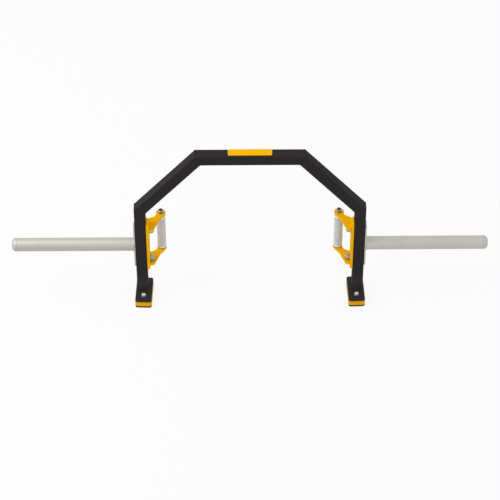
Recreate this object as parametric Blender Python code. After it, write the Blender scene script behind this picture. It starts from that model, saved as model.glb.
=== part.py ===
"""Open-ended trap bar, standing on its two feet.

Metres, +Z up. X runs along the sleeves and -Y is the front, the side the feet point to.
X = 0 is the middle of the bar, Y = 0 the middle of the frame tubes, Z = 0 the floor.
"""

import math

import bmesh
import bpy
from mathutils import Matrix, Vector

# The whole bar
bar_length = 1.692
sleeve_axis_height = 0.247
fit_gap = 0.0003
slide_clearance = 0.0003
edge_break = 0.0006

# Frame of square tube: a top tube, two diagonals and two legs, mitred and welded
tube_side = 0.040
tube_wall = 0.003
tube_corner_radius = 0.003
tube_bore_radius = 0.001
frame_width = 0.815
frame_height = 0.698
knee_height = 0.434
top_tube_length = 0.380

# Feet, toes turned out a little: a plate welded under each leg, a polymer block and a rubber sole
foot_width = 0.059
foot_reach_front = 0.0836
foot_reach_rear = 0.035
foot_shift_inward = 0.006
foot_toe_out = math.radians(2.5)
foot_corner_radius = 0.008
foot_plate_thickness = 0.005
foot_pad_thickness = 0.021
foot_pad_edge = 0.0012
foot_sole_thickness = 0.006
foot_bolt_depth = 0.055
foot_nut_pocket_depth = 0.010

# Loading sleeves: a tube on a flat flange, closed by a domed plug
sleeve_diameter = 0.0483
sleeve_wall = 0.0032
flange_thickness = 0.005
flange_height = 0.194
flange_corner_radius = 0.004
plug_rim_length = 0.016
plug_dome_radius = 0.014
plug_spigot_length = 0.014

# Handle brackets: a back plate bolted to the leg and two shaped arms
bracket_thickness = 0.010
bracket_height = 0.232
bracket_end_chamfer = 0.008
bracket_bolt_offset = 0.070
arm_thickness = 0.010
arm_offset = 0.0925
arm_tip_radius = 0.017
arm_heel_reach = 0.0245
arm_heel_radius = 0.012
arm_waist_reach = 0.0463
arm_waist_depth = 0.0345
arm_waist_radius = 0.035
arm_rear_depth = 0.0395
arm_throat_depth = 0.051
arm_throat_radius = 0.014
arm_edge_radius = 0.0009

# Turning grips
grip_reach = 0.0508
grip_depth = 0.0675
grip_diameter = 0.032
grip_wall = 0.004
grip_end_round = 0.0012
grip_end_play = 0.0005
bush_flange_diameter = 0.030
bush_flange_thickness = 0.0017
bush_length = 0.022

# Fasteners: 12 mm bolts through the brackets, 10 mm axles in the grips, 8 mm bolts in the feet
bolt_diameter = 0.012
bolt_hex = 0.018
bolt_overhang = 0.0038
bolt_tip_chamfer = 0.001
nut_height = 0.0108
washer_diameter = 0.024
washer_thickness = 0.0025
countersink_diameter = 0.020
countersink_rim = 0.0005
countersink_cut_above = 0.002
axle_diameter = 0.010
axle_hex = 0.017
axle_head_height = 0.0064
axle_washer_diameter = 0.021
axle_washer_thickness = 0.002
lock_nut_hex_height = 0.0075
lock_nut_height = 0.010
lock_nut_collar_diameter = 0.0148
lock_insert_diameter = 0.0132
lock_insert_thickness = 0.0025
foot_bolt_diameter = 0.008
foot_bolt_hex = 0.013
foot_bolt_head_height = 0.0055
foot_washer_diameter = 0.0175
foot_washer_thickness = 0.0016
foot_nut_height = 0.0065
hex_face_inset = 0.0002
hex_chamfer_slope = math.tan(math.radians(30))

# Badge riveted on the top tube
badge_length = 0.152
badge_width = 0.030
badge_thickness = 0.002
badge_corner_radius = 0.005
badge_edge = 0.0004
badge_shift_rear = 0.003
rivet_spacing = 0.1356
rivet_diameter = 0.003
rivet_tail_length = 0.002
rivet_head_diameter = 0.006
rivet_head_height = 0.0012

# How finely round shapes are drawn
arc_chord_error = 0.00014
tube_corner_steps = 3
sleeve_sides = 40
round_sides = 32
fastener_sides = 18
small_sides = 12
sharp_edge_angle = math.radians(32)
up = Vector((0, 0, 1))

# Levels that several pieces share
foot_pad_bottom = foot_sole_thickness + fit_gap
foot_pad_top = foot_pad_bottom + foot_pad_thickness
foot_plate_bottom = foot_pad_top + fit_gap
foot_plate_top = foot_plate_bottom + foot_plate_thickness
leg_bottom = foot_plate_top + fit_gap
leg_outside = frame_width / 2
leg_middle = leg_outside - tube_side / 2
leg_inside = leg_outside - tube_side
flange_inside = leg_outside + fit_gap
flange_outside = flange_inside + flange_thickness
bracket_outside = leg_inside - fit_gap
bracket_inside = bracket_outside - bracket_thickness
grip_axis = leg_inside - grip_reach
foot_middle = leg_middle - foot_shift_inward


def clear_scene():
    for thing in list(bpy.data.objects):
        bpy.data.objects.remove(thing)


def surface(name, colour, metallic, roughness):
    made = bpy.data.materials.new(name)
    made.use_nodes = True
    shader = made.node_tree.nodes["Principled BSDF"]
    shader.inputs["Base Color"].default_value = (*colour, 1)
    shader.inputs["Metallic"].default_value = metallic
    shader.inputs["Roughness"].default_value = roughness
    return made


def finished(bm, name, material, origin=(0, 0, 0)):
    """Makes the object, with its points measured from origin."""
    bmesh.ops.translate(bm, verts=bm.verts, vec=-Vector(origin))
    bmesh.ops.recalc_face_normals(bm, faces=bm.faces)
    for face in bm.faces:
        face.smooth = True
    for edge in bm.edges:
        edge.smooth = edge.calc_face_angle(0) < sharp_edge_angle
    mesh = bpy.data.meshes.new(name)
    bm.to_mesh(mesh)
    bm.free()
    mesh.materials.append(material)
    piece = bpy.data.objects.new(name, mesh)
    piece.location = origin
    bpy.context.collection.objects.link(piece)
    return piece


def break_edges(piece, width=edge_break, segments=1):
    bevel = piece.modifiers.new("edge break", "BEVEL")
    bevel.width = width
    bevel.segments = segments
    bevel.limit_method = "ANGLE"
    bevel.angle_limit = sharp_edge_angle


def cut(piece, cutter):
    cutter.hide_render = True
    cutter.display_type = "WIRE"
    boolean = piece.modifiers.new("cut " + cutter.name, "BOOLEAN")
    boolean.operation = "DIFFERENCE"
    boolean.solver = "EXACT"
    boolean.object = cutter


def arc_points(centre, start, turn, radius, steps=None):
    if steps is None:
        step_angle = 2 * math.acos(1 - arc_chord_error / radius)
        steps = max(2, round(abs(turn) / step_angle))
    points = []
    for step in range(steps + 1):
        angle = start + turn * step / steps
        points.append(centre + radius * Vector((math.cos(angle), math.sin(angle))))
    return points


def rounded_outline(corners, steps=None):
    """Closed outline through corners given as (x, y, radius). Radius 0 leaves a corner sharp."""
    outline = []
    for index, (x, y, radius) in enumerate(corners):
        here = Vector((x, y))
        before = (here - Vector(corners[index - 1][:2])).normalized()
        after = (Vector(corners[(index + 1) % len(corners)][:2]) - here).normalized()
        turn = math.atan2(before.x * after.y - before.y * after.x, before.dot(after))
        if radius == 0:
            outline.append(here)
            continue
        side = math.copysign(1, turn)
        inward = side * Vector((-before.y, before.x))
        start = here - before * radius * math.tan(abs(turn) / 2)
        centre = start + inward * radius
        away = -inward
        outline += arc_points(centre, math.atan2(away.y, away.x), turn, radius, steps)
    return outline


def extruded(name, outline, place, material):
    """Prism on a closed outline. place(x, y, end) gives a point of the near (0) or far (1) end."""
    bm = bmesh.new()
    near = [bm.verts.new(place(p.x, p.y, 0)) for p in outline]
    far = [bm.verts.new(place(p.x, p.y, 1)) for p in outline]
    bm.faces.new(near)
    bm.faces.new(far)
    for index in range(len(outline)):
        bm.faces.new((near[index - 1], near[index], far[index], far[index - 1]))
    return finished(bm, name, material)


def turned(name, section, place, axis, material, sides=fastener_sides, origin=(0, 0, 0)):
    """Round or hexagonal piece about an axis through place.

    section(angle) lists (radius, height) once round the cut face at that angle.
    A radius of 0 at both ends closes the piece on its axis; without them it has a bore.
    """
    bm = bmesh.new()
    turn = up.rotation_difference(Vector(axis)).to_matrix()
    cuts = []
    for step in range(sides):
        angle = 2 * math.pi * step / sides
        cuts.append([(radius, height, angle) for radius, height in section(angle)])
    rings = []
    for station in zip(*cuts):
        if station[0][0] == 0:
            station = station[:1]
        ring = []
        for radius, height, angle in station:
            spot = Vector((radius * math.cos(angle), radius * math.sin(angle), height))
            ring.append(bm.verts.new(Vector(place) + turn @ spot))
        rings.append(ring)
    solid = len(rings[0]) == 1
    for index in range(1 if solid else 0, len(rings)):
        join_rings(bm, rings[index - 1], rings[index])
    return finished(bm, name, material, origin)


def join_rings(bm, first, second):
    for step in range(max(len(first), len(second))):
        corners = []
        for ring, here in ((first, step - 1), (first, step), (second, step), (second, step - 1)):
            corner = ring[here % len(ring)]
            if corner not in corners:
                corners.append(corner)
        bm.faces.new(corners)


def plain(*outline):
    return lambda angle: outline


def hex_radius(across, angle):
    from_flat = (angle + math.pi / 6) % (math.pi / 3) - math.pi / 6
    return across / 2 / math.cos(from_flat)


def inset_corner(outer, before, after, depth):
    """Point at depth inside the bend of two outer faces whose directions are before and after."""
    first = Vector((-before.y, before.x))
    second = Vector((-after.y, after.x))
    return outer + depth * (first + second) / (1 + first.dot(second))


def tube_section(half, radius):
    corners = [(half, half), (-half, half), (-half, -half), (half, -half)]
    return rounded_outline([(x, y, radius) for x, y in corners], tube_corner_steps)


def mitred_tube(name, start, end, start_plane, end_plane, material):
    """Hollow square tube in the frame plane, cut at each end by a plane given by its normal.

    start and end are points (x, z) on the centre line, the planes' normals are (x, z) too.
    """
    bm = bmesh.new()
    along = (end - start).normalized()
    across = Vector((-along.y, along.x))
    outside = tube_section(tube_side / 2, tube_corner_radius)
    bore = tube_section(tube_side / 2 - tube_wall, tube_bore_radius)
    loops = []
    for section in (outside, bore):
        for spot, normal, shift in ((start, start_plane, fit_gap / 2), (end, end_plane, -fit_gap / 2)):
            loop = []
            for point in section:
                slide = shift / along.dot(normal) - point.x * across.dot(normal) / along.dot(normal)
                flat = spot + across * point.x + along * slide
                loop.append(bm.verts.new((flat.x, point.y, flat.y)))
            loops.append(loop)
    outer_start, outer_end, inner_start, inner_end = loops
    for first, second in (
        (outer_start, outer_end),
        (outer_end, inner_end),
        (inner_end, inner_start),
        (inner_start, outer_start),
    ):
        join_rings(bm, first, second)
    return finished(bm, name, material)


def build_frame(black, bolt_holes, rivet_holes):
    """Legs run up to the knees, diagonals lean in to the top tube."""
    foot = Vector((leg_outside, leg_bottom))
    knee = Vector((leg_outside, knee_height))
    shoulder = Vector((top_tube_length / 2, frame_height))
    rising = Vector((0, 1))
    leaning = (shoulder - knee).normalized()
    level = Vector((-1, 0))
    half = tube_side / 2
    knee_middle = inset_corner(knee, rising, leaning, half)
    shoulder_middle = inset_corner(shoulder, leaning, level, half)
    leg_start = Vector((leg_middle, foot.y - fit_gap / 2))
    knee_plane = (rising + leaning).normalized()
    shoulder_plane = (leaning + level).normalized()
    for side, label in ((-1, "left"), (1, "right")):
        flip = Matrix(((side, 0), (0, 1)))
        leg = mitred_tube(
            "frame_leg_" + label,
            flip @ leg_start,
            flip @ knee_middle,
            rising,
            flip @ knee_plane,
            black,
        )
        for hole in bolt_holes[label]:
            cut(leg, hole)
        mitred_tube(
            "frame_diagonal_" + label,
            flip @ knee_middle,
            flip @ shoulder_middle,
            flip @ knee_plane,
            flip @ shoulder_plane,
            black,
        )
    flip = Matrix(((-1, 0), (0, 1)))
    top = mitred_tube(
        "frame_top_tube",
        shoulder_middle,
        flip @ shoulder_middle,
        shoulder_plane,
        -(flip @ shoulder_plane),
        black,
    )
    for hole in rivet_holes:
        cut(top, hole)


def round_cutter(name, radius, place, axis, reach, material):
    """Cylinder that reaches the given length both ways from place."""
    section = plain((0, -reach), (radius, -reach), (radius, reach), (0, reach))
    return turned(name, section, place, axis, material)


def build_bolt_holes(material):
    """One cutter per bracket bolt, through the flange, the leg and the back plate."""
    holes = {}
    radius = bolt_diameter / 2 + slide_clearance
    for side, label in ((-1, "left"), (1, "right")):
        holes[label] = []
        for rise, level in ((-1, "lower"), (1, "upper")):
            place = (side * leg_middle, 0, sleeve_axis_height + rise * bracket_bolt_offset)
            name = "hole_" + level + "_" + label
            holes[label].append(round_cutter(name, radius, place, (1, 0, 0), tube_side, material))
    return holes


def build_sleeve(side, label, steel, bolt_holes):
    """Flange plate outside the leg, the loading tube on it and the domed plug in its end."""
    half_width = tube_side / 2
    half_height = flange_height / 2
    corners = []
    for y, z in ((-1, -1), (1, -1), (1, 1), (-1, 1)):
        corners.append((y * half_width, sleeve_axis_height + z * half_height, flange_corner_radius))
    flange = extruded(
        "sleeve_flange_" + label,
        rounded_outline(corners),
        lambda y, z, end: (side * (flange_inside + end * flange_thickness), y, z),
        steel,
    )
    break_edges(flange)
    for hole in bolt_holes:
        cut(flange, hole)
    for rise, level in ((-1, "lower"), (1, "upper")):
        seat = turned(
            "countersink_" + level + "_" + label,
            countersunk(slide_clearance, countersink_cut_above, 2 * flange_thickness),
            (side * flange_outside, 0, sleeve_axis_height + rise * bracket_bolt_offset),
            (-side, 0, 0),
            steel,
        )
        cut(flange, seat)
    outer = sleeve_diameter / 2
    inner = outer - sleeve_wall
    rim_start = bar_length / 2 - plug_rim_length
    tube_start = flange_outside + fit_gap
    tube_end = rim_start - fit_gap
    section = plain((inner, tube_start), (outer, tube_start), (outer, tube_end), (inner, tube_end))
    middle = (0, 0, sleeve_axis_height)
    turned("sleeve_tube_" + label, section, middle, (side, 0, 0), steel, sleeve_sides)
    spigot = inner - slide_clearance
    spigot_start = rim_start - plug_spigot_length
    dome = []
    dome_centre = Vector((outer - plug_dome_radius, bar_length / 2 - plug_dome_radius))
    for point in arc_points(dome_centre, 0, math.pi / 2, plug_dome_radius):
        dome.append((point.x, point.y))
    section = plain(
        (0, spigot_start),
        (spigot, spigot_start),
        (spigot, rim_start),
        (outer, rim_start),
        *dome,
        (0, bar_length / 2),
    )
    turned("sleeve_end_plug_" + label, section, middle, (side, 0, 0), steel, round_sides)


def countersunk(allowance, above, shank):
    """Cone of a countersunk head and a length of shank, from a little above the face down."""
    rim = countersink_diameter / 2 + allowance
    neck = bolt_diameter / 2 + allowance
    cone_end = countersink_rim + rim - neck
    return plain(
        (0, -above),
        (rim, -above),
        (rim, countersink_rim),
        (neck, cone_end),
        (neck, shank),
        (0, shank),
    )


def arm_outline():
    """Outline of an arm seen from above: x is measured inwards from the leg, y backwards.

    The front edge leaves a rounded heel, bends at the waist and runs on as a tangent of the tip.
    The rear edge comes back down the side of the tip and bends at the throat to the back plate.
    """
    base = bracket_thickness + 2 * fit_gap
    front = -tube_side / 2
    waist = Vector((arm_waist_reach, arm_waist_depth))
    tip = Vector((grip_reach, grip_depth))
    to_tip = tip - waist
    heading = math.atan2(to_tip.y, to_tip.x) - math.asin(arm_tip_radius / to_tip.length)
    rear = grip_depth + arm_tip_radius
    tip_corner_x = waist.x + (rear - waist.y) / math.tan(heading)
    throat_x = grip_reach - arm_tip_radius
    return rounded_outline(
        [
            (base, front, 0),
            (arm_heel_reach, front, arm_heel_radius),
            (waist.x, waist.y, arm_waist_radius),
            (tip_corner_x, rear, arm_tip_radius),
            (throat_x, rear, arm_tip_radius),
            (throat_x, arm_throat_depth, arm_throat_radius),
            (base, arm_rear_depth, 0),
        ]
    )


def build_bracket(side, label, yellow, bolt_holes):
    """Back plate against the inside of the leg, with the two arms welded to it."""
    half = bracket_height / 2
    outline = rounded_outline(
        [
            (bracket_outside, sleeve_axis_height - half, 0),
            (bracket_outside, sleeve_axis_height + half, 0),
            (bracket_inside + bracket_end_chamfer, sleeve_axis_height + half, 0),
            (bracket_inside, sleeve_axis_height + half - bracket_end_chamfer, 0),
            (bracket_inside, sleeve_axis_height - half + bracket_end_chamfer, 0),
            (bracket_inside + bracket_end_chamfer, sleeve_axis_height - half, 0),
        ]
    )
    plate = extruded(
        "bracket_plate_" + label,
        outline,
        lambda x, z, end: (side * x, (end - 0.5) * tube_side, z),
        yellow,
    )
    break_edges(plate)
    for hole in bolt_holes:
        cut(plate, hole)
    axle_hole = round_cutter(
        "axle_hole_" + label,
        axle_diameter / 2 + slide_clearance,
        (side * grip_axis, grip_depth, sleeve_axis_height),
        up,
        2 * arm_offset,
        yellow,
    )
    for rise, level in ((-1, "lower"), (1, "upper")):
        outside = sleeve_axis_height + rise * arm_offset
        arm = extruded(
            "bracket_arm_" + level + "_" + label,
            arm_outline(),
            lambda x, y, end: (side * (leg_inside - x), y, outside - rise * end * arm_thickness),
            yellow,
        )
        break_edges(arm, arm_edge_radius, 2)
        cut(arm, axle_hole)


def hexagon(across, chamfered_start, chamfered_end, height):
    """Outer skin of a hexagonal head or nut at an angle, with its corners turned down."""
    start_radius = across / 2 - hex_face_inset

    def skin(angle):
        radius = hex_radius(across, angle)
        drop = (radius - start_radius) * hex_chamfer_slope
        points = [(start_radius, 0), (radius, drop)] if chamfered_start else [(radius, 0)]
        points += [(radius, height - drop), (start_radius, height)] if chamfered_end else [(radius, height)]
        return points

    return skin


def nut_section(across, height, bore_diameter):
    skin = hexagon(across, True, True, height)
    bore = bore_diameter / 2
    return lambda angle: [(bore, 0), *skin(angle), (bore, height)]


def hex_bolt_section(across, head_height, diameter, length):
    """Bolt with its head from 0 to head_height and its shank on to head_height + length."""
    skin = hexagon(across, True, False, head_height)
    radius = diameter / 2
    end = head_height + length
    tip = bolt_tip(radius, end)
    return lambda angle: [(0, 0), *skin(angle), (radius, head_height), *tip]


def bolt_tip(radius, end):
    return [(radius, end - bolt_tip_chamfer), (radius - bolt_tip_chamfer, end), (0, end)]


def washer_section(diameter, hole_diameter, thickness):
    hole = hole_diameter / 2 + slide_clearance
    rim = diameter / 2
    return plain((hole, 0), (rim, 0), (rim, thickness), (hole, thickness))


def build_bracket_fasteners(side, label, zinc):
    """Two countersunk bolts from the outside, each with a washer and a nut on the back plate."""
    head_face = flange_outside - fit_gap
    washer_start = bracket_inside - fit_gap
    nut_start = washer_start - washer_thickness - fit_gap
    bolt_length = head_face - (nut_start - nut_height - bolt_overhang)
    radius = bolt_diameter / 2
    inward = (-side, 0, 0)
    for rise, level in ((-1, "lower"), (1, "upper")):
        height = sleeve_axis_height + rise * bracket_bolt_offset
        tail = level + "_" + label
        rim = countersink_diameter / 2
        cone_end = countersink_rim + rim - radius
        bolt = plain(
            (0, 0),
            (rim, 0),
            (rim, countersink_rim),
            (radius, cone_end),
            *bolt_tip(radius, bolt_length),
        )
        turned("bracket_bolt_" + tail, bolt, (side * head_face, 0, height), inward, zinc)
        washer = washer_section(washer_diameter, bolt_diameter, washer_thickness)
        turned("bracket_washer_" + tail, washer, (side * washer_start, 0, height), inward, zinc)
        nut = nut_section(bolt_hex, nut_height, bolt_diameter + 2 * slide_clearance)
        turned("bracket_nut_" + tail, nut, (side * nut_start, 0, height), inward, zinc)


def build_grip(side, label, steel, polymer):
    """Tube turning on two flanged bushes between the arms. Returns the middle of its axis."""
    centre = Vector((side * grip_axis, grip_depth, sleeve_axis_height))
    arm_inside = arm_offset - arm_thickness
    flange_end = arm_inside - grip_end_play
    flange_start = flange_end - bush_flange_thickness
    tube_half = flange_start - fit_gap
    outer = grip_diameter / 2
    inner = outer - grip_wall
    section = plain(
        (inner, -tube_half),
        (outer - grip_end_round, -tube_half),
        (outer, grip_end_round - tube_half),
        (outer, tube_half - grip_end_round),
        (outer - grip_end_round, tube_half),
        (inner, tube_half),
    )
    turned("grip_tube_" + label, section, centre, up, steel, round_sides, centre)
    bore = axle_diameter / 2 + slide_clearance
    body = inner - slide_clearance
    rim = bush_flange_diameter / 2
    bush_start = flange_end - bush_length
    for rise, level in ((-1, "lower"), (1, "upper")):
        section = plain(
            (bore, bush_start),
            (body, bush_start),
            (body, flange_start),
            (rim, flange_start),
            (rim, flange_end),
            (bore, flange_end),
        )
        name = "grip_bush_" + level + "_" + label
        turned(name, section, centre, (0, 0, rise), polymer, fastener_sides, centre)
    return centre


def build_grip_axle(label, centre, blackened, zinc, nylon):
    """Bolt from below through the arms and the grip, its end flush with the lock nut on top."""
    head_top = -arm_offset - fit_gap
    head_start = centre + up * (head_top - axle_head_height)
    washer_start = arm_offset + fit_gap
    nut_start = washer_start + axle_washer_thickness + fit_gap
    insert_start = lock_nut_height - lock_insert_thickness
    shank = nut_start + lock_nut_height - head_top
    section = hex_bolt_section(axle_hex, axle_head_height, axle_diameter, shank)
    turned("grip_axle_" + label, section, head_start, up, blackened)
    section = washer_section(axle_washer_diameter, axle_diameter, axle_washer_thickness)
    turned("grip_washer_" + label, section, centre + up * washer_start, up, zinc)
    skin = hexagon(axle_hex, True, True, lock_nut_hex_height)
    bore = axle_diameter / 2 + slide_clearance
    collar = lock_nut_collar_diameter / 2
    seat = lock_insert_diameter / 2
    inside = [
        (collar, lock_nut_hex_height),
        (collar, lock_nut_height),
        (seat, lock_nut_height),
        (seat, insert_start),
        (bore, insert_start),
    ]
    nut = centre + up * nut_start
    turned("grip_nut_" + label, lambda angle: [(bore, 0), *skin(angle), *inside], nut, up, zinc)
    rim = seat - slide_clearance
    bottom = insert_start + fit_gap
    section = plain((bore, bottom), (rim, bottom), (rim, lock_nut_height), (bore, lock_nut_height))
    turned("grip_nut_insert_" + label, section, nut, up, nylon)


def foot_spot(side, across, along):
    """Point on the floor, across and backwards from the foot's middle under the leg."""
    turn = side * foot_toe_out
    x = across * math.cos(turn) - along * math.sin(turn)
    y = across * math.sin(turn) + along * math.cos(turn)
    return Vector((side * foot_middle + x, y, 0))


def foot_layer(name, side, bottom, thickness, material):
    reach = foot_width / 2
    front = -foot_reach_front
    rear = foot_reach_rear
    corners = []
    for across, along in ((-reach, front), (reach, front), (reach, rear), (-reach, rear)):
        spot = foot_spot(side, across, along)
        corners.append((spot.x, spot.y, foot_corner_radius))
    outline = rounded_outline(corners)
    return extruded(name, outline, lambda x, y, end: (x, y, bottom + end * thickness), material)


def build_foot(side, label, black, yellow, rubber, zinc):
    """Plate, polymer block and sole, clamped by one bolt into a nut let into the block."""
    plate = foot_layer("foot_plate_" + label, side, foot_plate_bottom, foot_plate_thickness, black)
    pad = foot_layer("foot_pad_" + label, side, foot_pad_bottom, foot_pad_thickness, yellow)
    foot_layer("foot_sole_" + label, side, 0, foot_sole_thickness, rubber)
    break_edges(plate)
    break_edges(pad, foot_pad_edge)
    place = foot_spot(side, 0, -foot_bolt_depth)
    radius = foot_bolt_diameter / 2
    hole_middle = place + up * foot_pad_top
    hole = round_cutter(
        "foot_hole_" + label, radius + slide_clearance, hole_middle, up, 2 * foot_pad_thickness, rubber
    )
    pocket_radius = foot_bolt_hex / math.sqrt(3) + 2 * slide_clearance
    pocket_mouth = place + up * foot_pad_bottom
    pocket = round_cutter(
        "foot_pocket_" + label, pocket_radius, pocket_mouth, up, foot_nut_pocket_depth, rubber
    )
    cut(plate, hole)
    cut(pad, hole)
    cut(pad, pocket)
    washer_start = foot_plate_top + fit_gap
    section = washer_section(foot_washer_diameter, foot_bolt_diameter, foot_washer_thickness)
    turned("foot_washer_" + label, section, place + up * washer_start, up, zinc)
    head_bottom = washer_start + foot_washer_thickness + fit_gap
    head_top = head_bottom + foot_bolt_head_height
    nut_top = foot_pad_bottom + foot_nut_pocket_depth - fit_gap
    nut_bottom = nut_top - foot_nut_height
    shank = head_bottom - nut_bottom
    section = hex_bolt_section(foot_bolt_hex, foot_bolt_head_height, foot_bolt_diameter, shank)
    turned("foot_bolt_" + label, section, place + up * head_top, -up, zinc)
    section = nut_section(foot_bolt_hex, foot_nut_height, foot_bolt_diameter + 2 * slide_clearance)
    turned("foot_nut_" + label, section, place + up * nut_bottom, up, zinc, small_sides)


def build_badge(yellow, zinc):
    """Name plate on top of the top tube, held by two rivets. Returns the rivet holes."""
    bottom = frame_height + fit_gap
    top = bottom + badge_thickness
    corners = []
    for x, y in ((-1, -1), (1, -1), (1, 1), (-1, 1)):
        across = badge_shift_rear + y * badge_width / 2
        corners.append((x * badge_length / 2, across, badge_corner_radius))
    badge = extruded(
        "badge_plate",
        rounded_outline(corners),
        lambda x, y, end: (x, y, bottom + end * badge_thickness),
        yellow,
    )
    break_edges(badge, badge_edge)
    head_bottom = top + fit_gap
    shank_radius = rivet_diameter / 2
    shank_length = head_bottom - frame_height + tube_wall + rivet_tail_length
    head = domed_head(rivet_head_diameter / 2, rivet_head_height)
    section = plain((0, -shank_length), (shank_radius, -shank_length), (shank_radius, 0), *head)
    holes = []
    for side, label in ((-1, "left"), (1, "right")):
        place = Vector((side * rivet_spacing / 2, badge_shift_rear, head_bottom))
        turned("badge_rivet_" + label, section, place, up, zinc, small_sides)
        name = "rivet_hole_" + label
        hole = round_cutter(name, shank_radius + slide_clearance, place, up, 2 * shank_length, zinc)
        cut(badge, hole)
        holes.append(hole)
    return holes


def domed_head(radius, height):
    """Low dome from its rim, at height 0, to the point on its axis."""
    dome_radius = (radius**2 + height**2) / (2 * height)
    rim_angle = math.acos(radius / dome_radius)
    centre = Vector((0, height - dome_radius))
    points = arc_points(centre, rim_angle, math.pi / 2 - rim_angle, dome_radius, 3)
    return [(point.x, point.y) for point in points[:-1]] + [(0, height)]


def build():
    clear_scene()
    black = surface("black powder coat", (0.028, 0.026, 0.025), 0.0, 0.48)
    yellow = surface("yellow powder coat", (0.93, 0.50, 0.004), 0.0, 0.42)
    steel = surface("satin chromed steel", (0.62, 0.60, 0.57), 1.0, 0.34)
    zinc = surface("bright zinc plated steel", (0.70, 0.70, 0.68), 1.0, 0.28)
    blackened = surface("blackened steel", (0.020, 0.020, 0.020), 0.0, 0.42)
    rubber = surface("black rubber", (0.018, 0.018, 0.018), 0.0, 0.85)
    polymer = surface("black bearing polymer", (0.030, 0.030, 0.030), 0.0, 0.55)
    nylon = surface("black nylon", (0.020, 0.020, 0.020), 0.0, 0.45)
    block = surface("yellow polymer", (0.85, 0.42, 0.004), 0.0, 0.55)
    bolt_holes = build_bolt_holes(zinc)
    rivet_holes = build_badge(yellow, zinc)
    build_frame(black, bolt_holes, rivet_holes)
    for side, label in ((-1, "left"), (1, "right")):
        build_sleeve(side, label, steel, bolt_holes[label])
        build_bracket(side, label, yellow, bolt_holes[label])
        build_bracket_fasteners(side, label, zinc)
        grip_centre = build_grip(side, label, steel, polymer)
        build_grip_axle(label, grip_centre, blackened, zinc, nylon)
        build_foot(side, label, black, block, rubber, zinc)


build()
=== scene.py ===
import math

import bmesh
import bpy
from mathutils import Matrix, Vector


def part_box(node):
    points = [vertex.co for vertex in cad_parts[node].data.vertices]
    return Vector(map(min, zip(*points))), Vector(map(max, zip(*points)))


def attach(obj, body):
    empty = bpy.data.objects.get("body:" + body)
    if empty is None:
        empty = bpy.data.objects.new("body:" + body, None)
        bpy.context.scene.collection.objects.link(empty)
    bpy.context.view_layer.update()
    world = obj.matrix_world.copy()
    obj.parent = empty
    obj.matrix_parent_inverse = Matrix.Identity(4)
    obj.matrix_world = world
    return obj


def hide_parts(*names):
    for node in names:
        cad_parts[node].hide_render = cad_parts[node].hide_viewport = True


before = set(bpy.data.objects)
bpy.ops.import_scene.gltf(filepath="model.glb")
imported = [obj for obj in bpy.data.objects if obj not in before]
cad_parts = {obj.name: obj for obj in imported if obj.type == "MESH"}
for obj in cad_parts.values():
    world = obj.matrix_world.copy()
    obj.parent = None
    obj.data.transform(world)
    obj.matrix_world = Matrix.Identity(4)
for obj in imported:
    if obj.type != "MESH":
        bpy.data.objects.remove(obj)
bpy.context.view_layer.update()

# The frame is five lengths of 40 mm square steel tube, mitred, welded all round and powder coated
# black. The welds are ground nearly flush, which leaves a faint ridge round each of the four bends.
# The lowest part of the legs is painted paler towards the floor: painted light that lifts the shade
# there.
leg_low, leg_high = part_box("frame_leg_left")
top_low, top_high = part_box("frame_top_tube")
tube_side = leg_high.x - leg_low.x
tube_wall = 0.003
tube_corner = 0.003
weld_reach = 0.006
weld_swell = 0.0003
painted_light_reach = 0.10
painted_light_fade = 1.3
painted_light_tone = (0.049, 0.0455, 0.044)
coat_peel_depth = 0.0004
peel_scale = 620.0
cloud_scale = 9.0
same_place = 0.00001
edge_of_tube = 1.2


def select_nothing():
    """Lets go of every object, so that the next operator acts only on its own piece."""
    if bpy.context.mode != "OBJECT":
        bpy.ops.object.mode_set(mode="OBJECT")
    bpy.ops.object.select_all(action="DESELECT")


def select_only(piece):
    """Selects one piece alone and makes it active."""
    select_nothing()
    piece.select_set(True)
    bpy.context.view_layer.objects.active = piece


def start_shaping(piece):
    """Edit mode on one piece."""
    select_only(piece)
    bpy.ops.object.mode_set(mode="EDIT")


def pick(kind, wanted):
    """Selects the vertices, edges or faces for which wanted(item) holds, and nothing else."""
    bpy.ops.mesh.select_mode(type=kind)
    mesh = bpy.context.object.data
    bm = bmesh.from_edit_mesh(mesh)
    items = {"VERT": bm.verts, "EDGE": bm.edges, "FACE": bm.faces}[kind]
    chosen = [item for item in items if wanted(item)]
    for item in (*bm.verts, *bm.edges, *bm.faces):
        item.select = False
    for item in chosen:
        item.select_set(True)
    bm.select_flush_mode()
    bmesh.update_edit_mesh(mesh)


def use_modifier(piece, kind, **settings):
    """Adds a modifier, sets it and applies it."""
    select_only(piece)
    bpy.ops.object.modifier_add(type=kind)
    modifier = piece.modifiers[-1]
    for name, value in settings.items():
        setattr(modifier, name, value)
    bpy.ops.object.modifier_apply(modifier=modifier.name)


def smooth(piece, sharp_angle=35):
    """Smooth shading that keeps flat faces flat and edges over the angle crisp."""
    select_only(piece)
    bpy.ops.object.shade_smooth_by_angle(angle=math.radians(sharp_angle))
    use_modifier(piece, "WEIGHTED_NORMAL", keep_sharp=True)


def name_and_finish(piece, name, material):
    """Settles the piece's place into its mesh, and gives it its name and finish."""
    select_only(piece)
    bpy.ops.object.transform_apply()
    piece.name = piece.data.name = name
    piece.data.materials.clear()
    piece.data.materials.append(material)


def face_outward():
    """Points every face of the mesh in edit mode outwards."""
    bpy.ops.mesh.select_all(action="SELECT")
    bpy.ops.mesh.normals_make_consistent(inside=False)


def add(tree, kind, inputs=(), **settings):
    """A shader node with its settings and its inputs, each a value or the socket that feeds it."""
    made = tree.nodes.new("ShaderNode" + kind)
    for name, value in settings.items():
        setattr(made, name, value)
    for name, value in dict(inputs).items():
        if isinstance(value, bpy.types.NodeSocket):
            tree.links.new(value, made.inputs[name])
        else:
            made.inputs[name].default_value = value
    return made


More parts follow.
